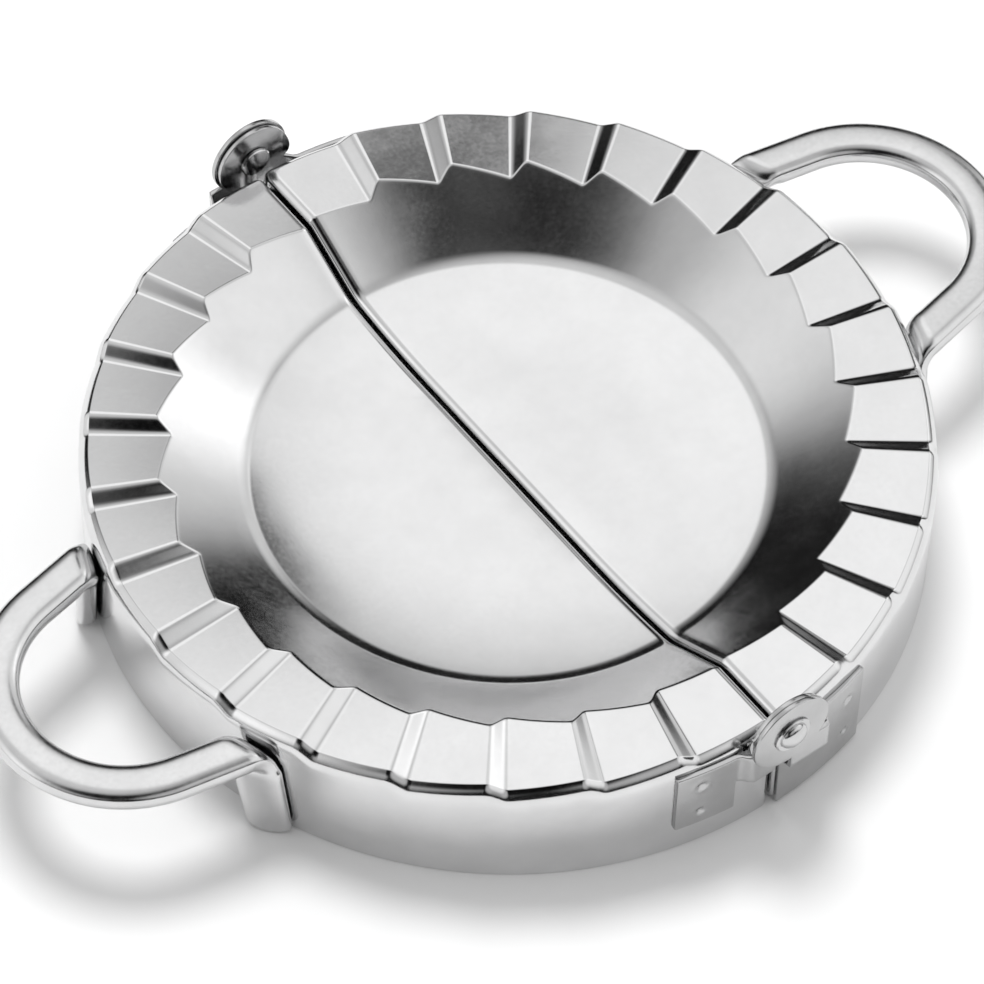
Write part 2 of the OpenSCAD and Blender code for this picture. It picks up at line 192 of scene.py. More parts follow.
# Shares of a length where a mesh has its rows
PANEL_SHARES = (0, 0.015, 0.1, 0.25, 0.4, 0.6, 0.75, 0.9, 0.985, 1)
FLAT_SHARES = (0.02, 0.2, 0.4, 0.6, 0.8, 0.98)
WALL_SHARES = (0.03, 0.2, 0.4, 0.6, 0.8)
TAB_SHARES = [0.1, 0.3, 0.5, 0.7, 0.85]
# Shares of a sheet's thickness where a cut edge has its rows
CUT_SHARES = (0.25, 0.75)
# Spacing of mesh points on the dish floor, on the leaves, and along the leaves' outlines
FLOOR_MESH = 2.2
LEAF_MESH = 0.36
OUTLINE_MESH = 0.5
# Share of the spacing that inner points keep from an outline, and tolerance of the filling
OUTLINE_CLEARANCE = 0.45
FILL_TOLERANCE = 1e-5
# Points closer than the first are merged, and edges shorter than the second are taken out
MERGE_GAP = 0.002
SLIVER = 0.001


def sin(degrees):
    return math.sin(math.radians(degrees))


def cos(degrees):
    return math.cos(math.radians(degrees))


def tan(degrees):
    return math.tan(math.radians(degrees))


def steps(start, end, count):
    """count + 1 numbers from start to end, evenly spaced."""
    return [start + (end - start) * i / count for i in range(count + 1)]


def clamp(value):
    """The value, held between 0 and 1."""
    return max(0.0, min(1.0, value))


def eased_ramp(u, blend):
    """0 to 1 as u goes from 0 to 1, straight in the middle and rounded over blend at each end."""
    slope = 1 / (1 - blend)
    if u < blend:
        return slope * u * u / (2 * blend)
    if u > 1 - blend:
        return 1 - slope * (1 - u) ** 2 / (2 * blend)
    return slope * (u - blend / 2)


class Sheet:
    """Collects quads and triangles by their corner points, in millimetres."""

    def __init__(self):
        self.points = []
        self.faces = []

    def grid(self, rows, closed=False):
        """Quads between neighbouring points of neighbouring rows."""
        for a, b in zip(rows, rows[1:]):
            count = len(a) if closed else len(a) - 1
            for i in range(count):
                j = (i + 1) % len(a)
                self.face([a[i], a[j], b[j], b[i]])

    def face(self, corners):
        start = len(self.points)
        self.points.extend(corners)
        self.faces.append(range(start, start + len(corners)))


# Edges sharper than the first are rounded on the leaves, and those sharper than the second
# stay creases when shaded
SQUARE_DEG = 60
SHARP_DEG = 35


def make_piece(name, sheet, turned, rounding=0.0):
    """A smooth-shaded object from a Sheet, turned half a turn about Z for the other half.
    rounding is the radius given to its square edges."""
    side = -1 if turned else 1
    shape = bmesh.new()
    verts = [shape.verts.new((side * x * MM, side * y * MM, z * MM)) for x, y, z in sheet.points]
    for face in sheet.faces:
        shape.faces.new([verts[i] for i in face])
    bmesh.ops.remove_doubles(shape, verts=shape.verts, dist=MERGE_GAP * MM)
    bmesh.ops.dissolve_degenerate(shape, edges=shape.edges, dist=SLIVER * MM)
    bmesh.ops.recalc_face_normals(shape, faces=shape.faces)
    if rounding:
        square = [e for e in shape.edges if e.calc_face_angle(0.0) > math.radians(SQUARE_DEG)]
        bmesh.ops.bevel(shape, geom=square, offset=rounding * MM, segments=ROUND_STEPS,
                        profile=0.5, affect="EDGES", clamp_overlap=True)
    mesh = bpy.data.meshes.new(name)
    shape.to_mesh(mesh)
    shape.free()
    mesh.shade_smooth()
    mesh.set_sharp_from_angle(angle=math.radians(SHARP_DEG))
    piece = bpy.data.objects.new(name, mesh)
    bpy.context.scene.collection.objects.link(piece)
    return piece


def dress(piece, node, body, material):
    """piece stands for the node, moves with the body, and takes the slot's finish."""
    piece.data.materials.append(material)
    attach(piece, body)
    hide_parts(node)


def wave(x, y, height):
    """Slow unevenness of thin stamped sheet, the same on every run."""
    return height * noise.noise(Vector((x / WAVE_BREADTH, y / WAVE_BREADTH, WAVE_LAYER)))


def clear_of_bend(x):
    """0 at the straight edge's bend, 1 where the sheet is far enough from it for full waves."""
    return clamp((x - EDGE_X - EDGE_BEND_R) / WAVE_FADE_EDGE)


def lift_at(angle):
    """Share of the pleat's climb at an angle from -90 to 90 degrees."""
    turn = angle + 90
    border = round(turn / PITCH_DEG)
    from_border = turn - border * PITCH_DEG
    if 0 < border < PLEATS and abs(from_border) < RISER_DEG / 2:
        return 1 - eased_ramp(from_border / RISER_DEG + 0.5, RISER_BLEND)
    pleat = min(int(turn / PITCH_DEG), PLEATS - 1)
    from_start = turn - pleat * PITCH_DEG
    if pleat == 0:
        return (from_start + RISER_DEG / 2) / PITCH_DEG
    if pleat == PLEATS - 1:
        return (from_start - RISER_DEG / 2) / PITCH_DEG * LAST_CLIMB
    return (from_start - RISER_DEG / 2) / (PITCH_DEG - RISER_DEG)


def pleat_angles():
    """Stations round one half, close together on the risers and beside them."""
    on_riser = steps(0, 1, RISER_STEPS)
    angles = []
    for pleat in range(PLEATS):
        first = pleat * PITCH_DEG + (RISER_DEG / 2 if pleat > 0 else 0)
        last = (pleat + 1) * PITCH_DEG - (RISER_DEG / 2 if pleat < PLEATS - 1 else 0)
        angles += [-90 + first + s * (last - first) for s in PANEL_SHARES]
        if pleat < PLEATS - 1:
            angles += [-90 + last + s * RISER_DEG for s in on_riser[1:-1]]
    return angles


def arc(centre, radius, start, end, count):
    """Points of an arc, from the angles of its normals."""
    return [
        (centre[0] + radius * cos(a), centre[1] + radius * sin(a)) for a in steps(start, end, count)
    ]


def rim_bend(top, depth):
    """Section of the rim's outer bend, from the skirt up to the pleats."""
    tight = max(CREASE_BEND_R, depth)
    side, up = cos(SIDE_BEND_DEG), sin(SIDE_BEND_DEG)
    side_centre = (RIM_R - SIDE_BEND_R, top - tight - (SIDE_BEND_R - tight) * up)
    tight_centre = (side_centre[0] + (SIDE_BEND_R - tight) * side, top - tight)
    wide = arc(side_centre, SIDE_BEND_R - depth, 0, SIDE_BEND_DEG, SIDE_BEND_STEPS)
    crease = arc(tight_centre, tight - depth, SIDE_BEND_DEG, 90, CREASE_BEND_STEPS)
    return wide[:-1] + crease


def profile(lift, depth):
    """Section of the sheet as [radius, height], from the foot of the skirt to the dish floor.
    depth is how far it lies under the outer face."""
    top = RIM_Z + lift * PLEAT_H
    brow = max(BROW_R, depth)
    brow_x = DISH_R + lift * PLEAT_H / WALL_TAN + brow * HALF_WALL_TAN
    toe_centre = (
        BOWL_END - FLOOR_BEND_R * FLOOR_SIN,
        FLOOR_Z + FLOOR_RISE - TOE_TANGENT * FLOOR_SIN + FLOOR_BEND_R * FLOOR_COS,
    )
    outer_bend = rim_bend(top, depth)
    skirt = [(RIM_R - depth, z) for z in steps(CUT_R, outer_bend[0][1], SKIRT_STEPS)[:-1]]
    flat_end = outer_bend[-1][0]
    flat = [(flat_end + s * (brow_x - flat_end), top - depth) for s in FLAT_SHARES]
    brow_bend = arc((brow_x, top - brow), brow - depth, 90, 90 + WALL_DEG, BROW_STEPS)
    toe_bend = arc(
        toe_centre, -FLOOR_BEND_R - depth, 90 + WALL_DEG, 90 + FLOOR_DEG, FLOOR_BEND_STEPS)
    bowl = arc(
        (FLOOR_R, FLOOR_Z + BOWL_R), -BOWL_R - depth, 90 + FLOOR_DEG, 90, BOWL_STEPS)
    start, end = brow_bend[-1], toe_bend[0]
    wall = [
        (start[0] + s * (end[0] - start[0]), start[1] + s * (end[1] - start[1]))
        for s in WALL_SHARES
    ]
    return skirt + outer_bend + flat + brow_bend + wall + toe_bend + bowl[1:]


def filled(outline, spacing, holes=()):
    """Triangles that fill an outline, with inner points on a grid, as lists of (x, y)."""
    loops = [list(outline)] + [list(hole) for hole in holes]
    points, edges = [], []
    for loop in loops:
        start = len(points)
        points += [Vector(p) for p in loop]
        edges += [(start + i, start + (i + 1) % len(loop)) for i in range(len(loop))]
    low = [min(p[i] for p in outline) for i in (0, 1)]
    high = [max(p[i] for p in outline) for i in (0, 1)]
    for i in range(1, int((high[0] - low[0]) / spacing)):
        for j in range(1, int((high[1] - low[1]) / spacing)):
            shift = spacing / 2 if j % 2 else 0
            p = (low[0] + i * spacing + shift, low[1] + j * spacing)
            if all(inside(p, loop) == (loop is loops[0]) for loop in loops):
                if all(gap_to(p, loop) > spacing * OUTLINE_CLEARANCE for loop in loops):
                    points.append(Vector(p))
    made = delaunay_2d_cdt(points, edges, [], 0, FILL_TOLERANCE)
    triangles = []
    for face in made[2]:
        corners = [tuple(made[0][i]) for i in face]
        middle = [sum(c[i] for c in corners) / len(corners) for i in (0, 1)]
        if all(inside(middle, loop) == (loop is loops[0]) for loop in loops):
            triangles.append(corners)
    return triangles


def inside(p, loop):
    hit = False
    for (x0, y0), (x1, y1) in zip(loop, loop[1:] + loop[:1]):
        if (y0 > p[1]) != (y1 > p[1]) and p[0] < x0 + (p[1] - y0) * (x1 - x0) / (y1 - y0):
            hit = not hit
    return hit


def gap_to(p, loop):
    """Distance from a point to a closed loop of straight pieces."""
    best = math.inf
    for (x0, y0), (x1, y1) in zip(loop, loop[1:] + loop[:1]):
        dx, dy = x1 - x0, y1 - y0
        t = clamp(((p[0] - x0) * dx + (p[1] - y0) * dy) / (dx * dx + dy * dy))
        best = min(best, math.hypot(p[0] - x0 - t * dx, p[1] - y0 - t * dy))
    return best


def edge_columns():
    """Section across the straight edge, as (x, depth) on the outer and on the inner face,
    from the middle of the flange's cut edge round the bend to the start of the sheet."""
    middle = EDGE_X + SHEET_T / 2
    back = EDGE_X + SHEET_T
    centre = EDGE_X + EDGE_BEND_R
    outer = [(middle, LIP_W), (EDGE_X + CUT_R, LIP_W), (EDGE_X, LIP_W - CUT_R)]
    inner = [(middle, LIP_W), (back - CUT_R, LIP_W), (back, LIP_W - CUT_R)]
    for depth in steps(LIP_W - CUT_R, EDGE_BEND_R, LIP_STEPS)[1:-1]:
        outer.append((EDGE_X, depth))
        inner.append((back, depth))
    small = EDGE_BEND_R - SHEET_T
    for a in steps(90, 0, EDGE_BEND_STEPS):
        outer.append((centre - EDGE_BEND_R * sin(a), EDGE_BEND_R * (1 - cos(a))))
        inner.append((centre - small * sin(a), EDGE_BEND_R - small * cos(a)))
    return outer, inner


def clear_of_edge(angle, r):
    """Angle of a station at a radius: the first and the last panel begin beside the edge bend."""
    from_edge = 90 - abs(angle)
    panel = PITCH_DEG - RISER_DEG / 2
    if from_edge >= panel:
        return angle
    x = EDGE_BEND_R + r * sin(from_edge) * (1 - EDGE_BEND_R / (r * sin(panel)))
    return math.copysign(math.degrees(math.acos(x / r)), angle)


def half_shell():
    """One half's stamping: pleated rim, dish, skirt, and the flange along the straight edge."""
    sheet = Sheet()
    angles = pleat_angles()
    front_lift, rear_lift = lift_at(-90), lift_at(90)
    floor_ys = steps(-FLOOR_R, FLOOR_R, FLOOR_LINE_STEPS)

    def edge_row(x, depth):
        front = [(x, -r, z) for r, z in profile(front_lift, depth)]
        floor = [(x, y, FLOOR_Z - depth) for y in floor_ys[1:-1]]
        rear = [(x, r, z) for r, z in reversed(profile(rear_lift, depth))]
        return front + floor + rear

    def station(angle, depth):
        row = []
        for r, z in profile(lift_at(angle), depth):
            a = clear_of_edge(angle, r)
            x, y = EDGE_X + r * cos(a), r * sin(a)
            level = clamp((RIM_R - SIDE_BEND_R - r) / WAVE_FADE_RIM) * clear_of_bend(x)
            row.append((x, y, z + wave(x, y, SHEET_WAVE * level)))
        return row

    outer, inner = edge_columns()
    faces = []
    for columns, depth in ((outer, 0.0), (inner, SHEET_T)):
        rows = [edge_row(x, d) for x, d in columns]
        sheet.grid(rows)
        count = len(profile(0, depth))
        stations = [rows[-1][:count]] + [station(a, depth) for a in angles[1:-1]]
        stations.append(rows[-1][:-count - 1:-1])
        sheet.grid(stations)
        ring = [s[-1] for s in stations]
        line = rows[-1][count:-count]
        outline = [p[:2] for p in ring] + [p[:2] for p in reversed(line)]
        heights = {spot(p[0], p[1]): p[2] for p in ring}
        for triangle in filled(outline, FLOOR_MESH):
            sheet.face([(x, y, floor_height(x, y, depth, heights)) for x, y in triangle])
        faces.append((rows, stations))
    close_foot(sheet, *faces)
    return sheet


def spot(x, y):
    """A place rounded to a thousandth of a millimetre, to find its point again."""
    return (round(x, 3), round(y, 3))


def floor_height(x, y, depth, heights):
    """Height of the dish floor: that of the wall's last ring, and slow waves inside it."""
    known = heights.get(spot(x, y))
    if known is not None:
        return known
    return FLOOR_Z - depth + wave(x, y, SHEET_WAVE * clear_of_bend(x))


def close_foot(sheet, outer, inner):
    """Rounded cut edge at the foot of the skirt, between the outer and the inner face."""
    def strip(points_out, points_in):
        rows = [points_out]
        for share in CUT_SHARES:
            rows.append([
                tuple(a[i] + share * (b[i] - a[i]) for i in (0, 1)) + (0.0,)
                for a, b in zip(points_out, points_in)
            ])
        rows.append(points_in)
        sheet.grid(rows)

    for end in (0, -1):
        strip([row[end] for row in outer[0]], [row[end] for row in inner[0]])
    strip([s[0] for s in outer[1]], [s[0] for s in inner[1]])


def tube_section(half_w, depth):
    """Section of the flattened tube as [sideways, depth below its top]: between a rounded
    box and an oval."""
    def swell(share):
        return math.copysign(abs(share) ** (2 / TUBE_SQUARENESS), share)

    return [
        (half_w * swell(cos(a)), depth / 2 * (1 - swell(sin(a))))
        for a in steps(0, 360, TUBE_STEPS)[:-1]
    ]


LOOP_X = RIM_R + HANDLE_REACH - TUBE_W / 2 - LOOP_R
LOOP_END = 90 - LEG_DEG
LEG_X = LOOP_X + LOOP_R * cos(LOOP_END)
LEG_Y = LOOP_R * sin(LOOP_END)
SKEW = LEG_DEG + TAB_DEG
FOLD_OUT = TAB_D + CREASE_R
LEG_LEN = (LEG_X * cos(TAB_DEG) + LEG_Y * sin(TAB_DEG) - RIM_R - FOLD_OUT) / cos(SKEW)
TAB_TOP_Z = HANDLE_Z - TUBE_D - CREASE_R
# Places of the tube's middle along the skirt, where the turn starts, bends and ends
TURN_START = LEG_Y * cos(TAB_DEG) - LEG_X * sin(TAB_DEG) + LEG_LEN * sin(SKEW)
TURN_BEND = TURN_START + (FOLD_OUT - FOLD_R) * tan(SKEW)
TURN_ARC = math.pi / 2 * FOLD_R + HANDLE_Z - FOLD_R - TAB_TOP_Z
TURN_END = TURN_BEND + TURN_ARC * tan((SKEW + TAB_LEAN) / 2)
TAB_END = TURN_END + (TAB_TOP_Z - TAB_Z) * tan(TAB_LEAN)


def flat_ring(x, y, side, wall):
    """Ring of the tube in the loop or a leg."""
    section = tube_section(TUBE_W / 2 - wall, TUBE_D - 2 * wall)
    return [
        (EDGE_X + x + s * side[0], y + s * side[1], HANDLE_Z - wall - d) for s, d in section
    ]


def skirt_ring(top, low, along_mid, half_w, share, wall):
    """Ring of the tube where it turns down and lies along the skirt. top and low are its
    upper and lower points as [distance from the skirt, height]. share grows from 0 to 1 over
    the turn: how far the ring has the tab's curve and turned face."""
    depth = TUBE_D - 2 * wall
    ring = []
    for s, d in tube_section(half_w - wall, depth):
        across = d / depth
        along = along_mid + s
        bow = share * (RIM_R - math.sqrt(RIM_R ** 2 - along ** 2))
        face = share * across * s * tan(TAB_TURN)
        out = RIM_R + TAB_SEAT + top[0] + across * (low[0] - top[0]) - bow - face
        ring.append((
            EDGE_X + out * cos(TAB_DEG) - along * sin(TAB_DEG),
            out * sin(TAB_DEG) + along * cos(TAB_DEG),
            top[1] + across * (low[1] - top[1]),
        ))
    return ring


def turn_ring(u, wall):
    """Ring at a share u of the turn from leg to tab."""
    if u < TURN_LEAD:
        s = u / TURN_LEAD
        top = (FOLD_OUT + s * (FOLD_R - FOLD_OUT), HANDLE_Z - wall)
    elif u > 1 - TURN_LEAD:
        s = (u - (1 - TURN_LEAD)) / TURN_LEAD
        start_z = HANDLE_Z - FOLD_R
        top = (wall, start_z + s * (TAB_TOP_Z - start_z))
    else:
        a = 90 * (u - TURN_LEAD) / (1 - 2 * TURN_LEAD)
        r = FOLD_R - wall
        top = (FOLD_R - r * sin(a), HANDLE_Z - FOLD_R + r * cos(a))
    r = CREASE_R + wall
    low = (FOLD_OUT - r * sin(90 * u), TAB_TOP_Z + r * cos(90 * u))
    if u < TURN_LEAD:
        along = TURN_START + (TURN_BEND - TURN_START) * u / TURN_LEAD
    else:
        along = TURN_BEND + (TURN_END - TURN_BEND) * (u - TURN_LEAD) / (1 - TURN_LEAD)
    return skirt_ring(top, low, along, TUBE_W / 2 / cos(SKEW), u, wall)


def handle_rings(wall):
    """Rings of the whole handle, from the foot of one tab to the foot of the other."""
    half = [
        flat_ring(LOOP_X + LOOP_R * cos(a), LOOP_R * sin(a), (cos(a), sin(a)), wall)
        for a in steps(0, LOOP_END, LOOP_STEPS)
    ]
    half += [turn_ring(u, wall) for u in steps(0, 1, TURN_STEPS)]
    foot = TAB_FOOT_R / (TAB_TOP_Z - TAB_Z)
    rounded = [1 - foot * (1 - sin(a)) for a in steps(0, 90, TAB_FOOT_STEPS)]
    for s in TAB_SHARES + rounded:
        z = TAB_TOP_Z + s * (TAB_Z - TAB_TOP_Z)
        corner = clamp((s - rounded[0]) / foot)
        half_w = TUBE_W / 2 / cos(SKEW)
        half_w += s * (TAB_W / 2 - half_w) - TAB_FOOT_R * (1 - math.sqrt(1 - corner ** 2))
        half.append(skirt_ring(
            (wall, z), (TAB_D - wall, z), TURN_END + s * (TAB_END - TURN_END), half_w, 1, wall))
    other = [[(x, -y, z) for x, y, z in ring] for ring in reversed(half[1:])]
    return other + half


def half_handle():
    """Handle of flattened tube: loop, two legs, and tabs turned down along the skirt."""
    sheet = Sheet()
    outside, inside_rings = handle_rings(0.0), handle_rings(TUBE_WALL)
    sheet.grid(outside, closed=True)
    sheet.grid(inside_rings, closed=True)
    for end in (0, -1):
        sheet.grid([outside[end], inside_rings[end]], closed=True)
    return sheet


def pressed_leaf(outline, hole_r, outer_face, thickness_way):
    """A leaf of the front hinge from its outline in X and Z. outer_face gives the distance of
    its outer face from the X axis, and thickness_way which way its thickness goes."""
    hole = arc((0, HINGE_Z), hole_r, 0, 360, HOLE_STEPS)[:-1]
    triangles = filled(outline, LEAF_MESH, [hole])
    sheet = Sheet()
    for depth in (0.0, LEAF_T):
        for triangle in triangles:
            sheet.face([thickness_way(x, outer_face(x, z), z, depth) for x, z in triangle])
    for loop in (outline, hole):
        for a, b in zip(loop, loop[1:] + loop[:1]):
            sheet.face([
                thickness_way(p[0], outer_face(*p), p[1], depth)
                for p, depth in ((a, 0.0), (b, 0.0), (b, LEAF_T), (a, LEAF_T))
            ])
    return sheet


def split_line(points, spacing):
    """The same closed outline with extra points on its long straight pieces."""
    out = []
    for (x0, y0), (x1, y1) in zip(points, points[1:] + points[:1]):
        count = max(1, round(math.hypot(x1 - x0, y1 - y0) / spacing))
        out += [(x0 + (x1 - x0) * i / count, y0 + (y1 - y0) * i / count) for i in range(count)]
    return out


def weld_dent(x, z, marks):
    """Depth of the spot welds' dimples at a point, with a faint raised ring round each."""
    dent = 0.0
    for mark_x, mark_z in marks:
        d = math.hypot(x - mark_x, z - mark_z) / WELD_R
        dent += WELD_DEPTH * max(0.0, 1 - d * d) ** 2
        ring = math.exp(-((d - WELD_RING_AT) / WELD_RING_W) ** 2)
        dent -= WELD_RING_HEIGHT * WELD_DEPTH * ring
    return dent


def straight_back(x, y, z, depth):
    return (x, -(y - depth), z)


def outer_leaf():
    """Leaf on the right half's front end: plate, raised pad and ear."""
    z0, z1 = OUTER_PLATE_Z
    reach = OUTER_EAR_R
    start = -math.degrees(math.asin((HINGE_Z - z1) / reach))
    end = 270 + math.degrees(math.asin(PAD_NEAR / reach))
    outline = split_line(
        [(PAD_NEAR, z0), (OUTER_PLATE_W, z0), (OUTER_PLATE_W, z1)]
        + arc((0, HINGE_Z), reach, start, end, OUTER_EAR_STEPS), OUTLINE_MESH)
    marks = [(OUTER_WELD_X, z1 - drop) for drop in OUTER_WELD_DROPS]

    def face(x, z):
        plate = math.sqrt((RIM_R + LEAF_T) ** 2 - (x - EDGE_X) ** 2)
        across = (PAD_W + PAD_SLOPE - x) / PAD_SLOPE
        up = (z - PAD_FOOT_Z) / PAD_SLOPE
        rise = eased_ramp(clamp(min(across, up)), PAD_BLEND)
        return plate + rise * (OUTER_FACE_Y - plate) - weld_dent(x, z, marks)

    return pressed_leaf(outline, RIVET_R, face, straight_back)


def inner_leaf():
    """Leaf on the left half's front end: plate, joggled neck and ear. X is mirrored here, so
    that the left half's side is positive."""
    near, far = INNER_PLATE_X
    z0, z1 = INNER_PLATE_Z
    reach = INNER_EAR_R
    start = -math.degrees(math.asin((HINGE_Z - z1) / reach))
    foot_z = HINGE_Z - math.sqrt(reach ** 2 - NECK_FOOT_X ** 2)
    end = 270 + math.degrees(math.asin(NECK_FOOT_X / reach))
    outline = [(near, z0), (far, z0), (far, z1)]
    outline += arc((0, HINGE_Z), reach, start, end, INNER_EAR_STEPS)
    if foot_z > NECK_Z0:
        outline.append((NECK_FOOT_X, NECK_Z0))
    outline.append((near, NECK_Z0))
    outline = split_line(outline, OUTLINE_MESH)
    marks = [((near + far) / 2 + WELD_R, z1 - drop) for drop in INNER_WELD_DROPS]
    flat_from = near - EAR_STANDOFF - LEAF_T

    def face(x, z):
        plate = math.sqrt((RIM_R + LEAF_T) ** 2 - (max(x, near) - EDGE_X) ** 2)
        joggle = eased_ramp(clamp((near - x) / (near - flat_from)), JOGGLE_BLEND)
        return plate + joggle * (INNER_EAR_Y + LEAF_T - plate) - weld_dent(x, z, marks)

    def mirrored_back(x, y, z, depth):
        return (-x, -(y - depth), z)

    return pressed_leaf(outline, RIVET_R + RIVET_PLAY, face, mirrored_back)


def rivet():
    """Rivet of the front hinge, turned about its axis: [distance from the axis, distance from
    the X axis], from the closing head inside to the dome outside."""
    tail_y = INNER_EAR_Y - FACE_GAP - TAIL_T
    face_y = OUTER_FACE_Y
    dome_r = HEAD_R - HEAD_RING_W
    bevel = RIVET_BEVEL
    foot_y = face_y + HEAD_T - GROOVE_D
    line = [(0.0, tail_y + TAIL_HOLLOW), (TAIL_R - TAIL_RING_W, tail_y)]
    line += [(TAIL_R - bevel, tail_y), (TAIL_R, tail_y + bevel)]
    line += [(TAIL_R, tail_y + TAIL_T - bevel), (TAIL_R - bevel, tail_y + TAIL_T)]
    line += [(RIVET_R, tail_y + TAIL_T), (RIVET_R, face_y)]
    line += [(HEAD_R - bevel, face_y), (HEAD_R, face_y + bevel)]
    line += [(HEAD_R, face_y + HEAD_T - bevel), (HEAD_R - bevel, face_y + HEAD_T)]
    line += [(dome_r + GROOVE_W, face_y + HEAD_T), (dome_r, foot_y)]
    line += [
        (dome_r * cos(a), foot_y + (DOME_H + GROOVE_D) * sin(a))
        for a in steps(DOME_START_DEG, 90, DOME_STEPS)
    ]
    rings = [
        [(r * cos(a), -y, HINGE_Z + r * sin(a)) for a in steps(0, 360, RIVET_STEPS)[:-1]]
        for r, y in line
    ]
    sheet = Sheet()
    sheet.grid(rings, closed=True)
    return sheet


class Nodes:
    """Short names for making and linking the nodes of one material or world."""

    def __init__(self, tree):
        self.tree = tree

    def add(self, kind, inputs=None, **settings):
        made = self.tree.nodes.new(kind)
        for name, value in settings.items():
            setattr(made, name, value)
        for name, value in (inputs or {}).items():
            socket = made.inputs[name]
            if isinstance(value, bpy.types.NodeSocket):
                self.tree.links.new(value, socket)
            else:
                socket.default_value = value
        return made

    def math(self, operation, a, b):
        return self.add("ShaderNodeMath", {0: a, 1: b}, operation=operation).outputs[0]

    def ramp(self, value, low, high, to_low=0.0, to_high=1.0, smoothed=False):
        kind = "SMOOTHSTEP" if smoothed else "LINEAR"
        made = self.add("ShaderNodeMapRange", {
            "Value": value, "From Min": low, "From Max": high,
            "To Min": to_low, "To Max": to_high,
        }, interpolation_type=kind)
        return made.outputs["Result"]

    def noise(self, vector, scale, detail, rough):
        made = self.add("ShaderNodeTexNoise", {
            "Vector": vector, "Scale": scale, "Detail": detail, "Roughness": rough})
        return made.outputs["Fac"]


def new_material(name):
    made = bpy.data.materials.new(name)
    made.use_nodes = True
    made.node_tree.nodes.clear()
    return made, Nodes(made.node_tree)


# Scales of the finish's patterns: clouds, speckle and the scratches' fineness per metre, and
# how often the scratches change along their run, per radian
CLOUD_SCALE = 160.0
SPECKLE_SCALE = 1900.0
SCRATCH_ACROSS = 9000.0
SCRATCH_ALONG = 14.0
# Parts of the noises' range that shade, roughness and pits are taken from
SHADE_RANGE = (0.3, 0.7)
ROUGH_RANGE = (0.35, 0.65)
PIT_RANGE = (0.3, 0.45)
# Blue against red and green in what the steel mirrors
BLUE_TINT = 1.004


def steel(name, shade, rough, grain, pits):
    """Stainless steel: cloudy gloss, fine scratches round the hinge's middle, and small pits.
    shade and rough are (lowest, highest), and grain and pits are depths in millimetres."""
    made, nodes = new_material(name)
    place = nodes.add("ShaderNodeTexCoord").outputs["Object"]
    parts = nodes.add("ShaderNodeSeparateXYZ", {0: place}).outputs
    flat = nodes.add("ShaderNodeCombineXYZ", {0: parts[0], 1: parts[1]}).outputs[0]
    radius = nodes.add("ShaderNodeVectorMath", {0: flat}, operation="LENGTH").outputs["Value"]
    heading = nodes.add("ShaderNodeVectorMath", {0: flat}, operation="NORMALIZE").outputs[0]
    heading = nodes.add("ShaderNodeSeparateXYZ", {0: heading}).outputs
    across = nodes.math("ADD", radius, parts[2])
    round_place = nodes.add("ShaderNodeCombineXYZ", {
        0: nodes.math("MULTIPLY", across, SCRATCH_ACROSS),
        1: nodes.math("MULTIPLY", heading[0], SCRATCH_ALONG),
        2: nodes.math("MULTIPLY", heading[1], SCRATCH_ALONG),
    }).outputs[0]
    scratches = nodes.noise(round_place, 1.0, detail=3.0, rough=0.65)
    clouds = nodes.noise(place, CLOUD_SCALE, detail=4.0, rough=0.6)
    speckle = nodes.noise(place, SPECKLE_SCALE, detail=3.0, rough=0.6)
    tone = nodes.ramp(clouds, *SHADE_RANGE, *shade)
    blue = nodes.math("MULTIPLY", tone, BLUE_TINT)
    colour = nodes.add("ShaderNodeCombineColor", {
        "Red": tone, "Green": tone, "Blue": blue}).outputs[0]
    mixed = nodes.math("ADD", nodes.math("MULTIPLY", clouds, 0.5),
                       nodes.math("MULTIPLY", speckle, 0.5))
    roughness = nodes.ramp(mixed, *ROUGH_RANGE, *rough)
    bump = nodes.add("ShaderNodeBump", {
        "Height": scratches, "Distance": grain * MM, "Strength": 1.0})
    dents = nodes.ramp(speckle, *PIT_RANGE)
    bump = nodes.add("ShaderNodeBump", {
        "Height": dents, "Distance": pits * MM, "Strength": 1.0, "Normal": bump.outputs[0]})
    shader = nodes.add("ShaderNodeBsdfPrincipled", {
        "Base Color": colour, "Metallic": 1.0, "Roughness": roughness,
        "Normal": bump.outputs[0]})
    nodes.add("ShaderNodeOutputMaterial", {"Surface": shader.outputs[0]})
    return made


# Finishes of the steel: lowest and highest shade, lowest and highest roughness, and the
# depths of scratches and pits in millimetres
FINISHES = {
    "polished_shell": ((0.68, 0.74), (0.09, 0.18), 0.0006, 0.0006),
    "polished_tube": ((0.62, 0.72), (0.12, 0.26), 0.0009, 0.0016),
    # The leaves' low shade is painted shade: their steel is darkened to stand in for the dimmer
    # reflections that they show
    "pressed_leaf": ((0.46, 0.54), (0.12, 0.24), 0.0007, 0.0008),
    "rivet_head": ((0.56, 0.64), (0.10, 0.20), 0.0005, 0.0006),
}


def direction(heading, elevation):
    """Unit vector towards a place in the studio, from its heading from +X and its elevation."""
    return (cos(heading) * cos(elevation), sin(heading) * cos(elevation), sin(elevation))


# Soft boxes that the steel mirrors: heading, elevation, radius, soft edge and strength
SOFT_BOXES = [
    (86, 63, 28, 18, 0.58),
    (143, 18, 29, 13, 0.90),
    (-35, 32, 28, 18, 1.10),
    (12, 30, 17, 8, 0.80),
    (-178, 33, 26, 15, 0.45),
    (70, 76, 33, 10, 0.20),
    (48, 54, 21, 4, 0.42),
    (-95, 35, 18, 12, 0.55),
]
# Black cards in front of the soft boxes: heading, elevation, radius, soft edge and the share
# of light kept off
BLACK_CARDS = [
    (34, 43.5, 5, 3, 0.80),
    (-148, 51, 18, 9, 0.98),
]
# Light of the dim studio between the soft boxes
GLOOM = 0.012
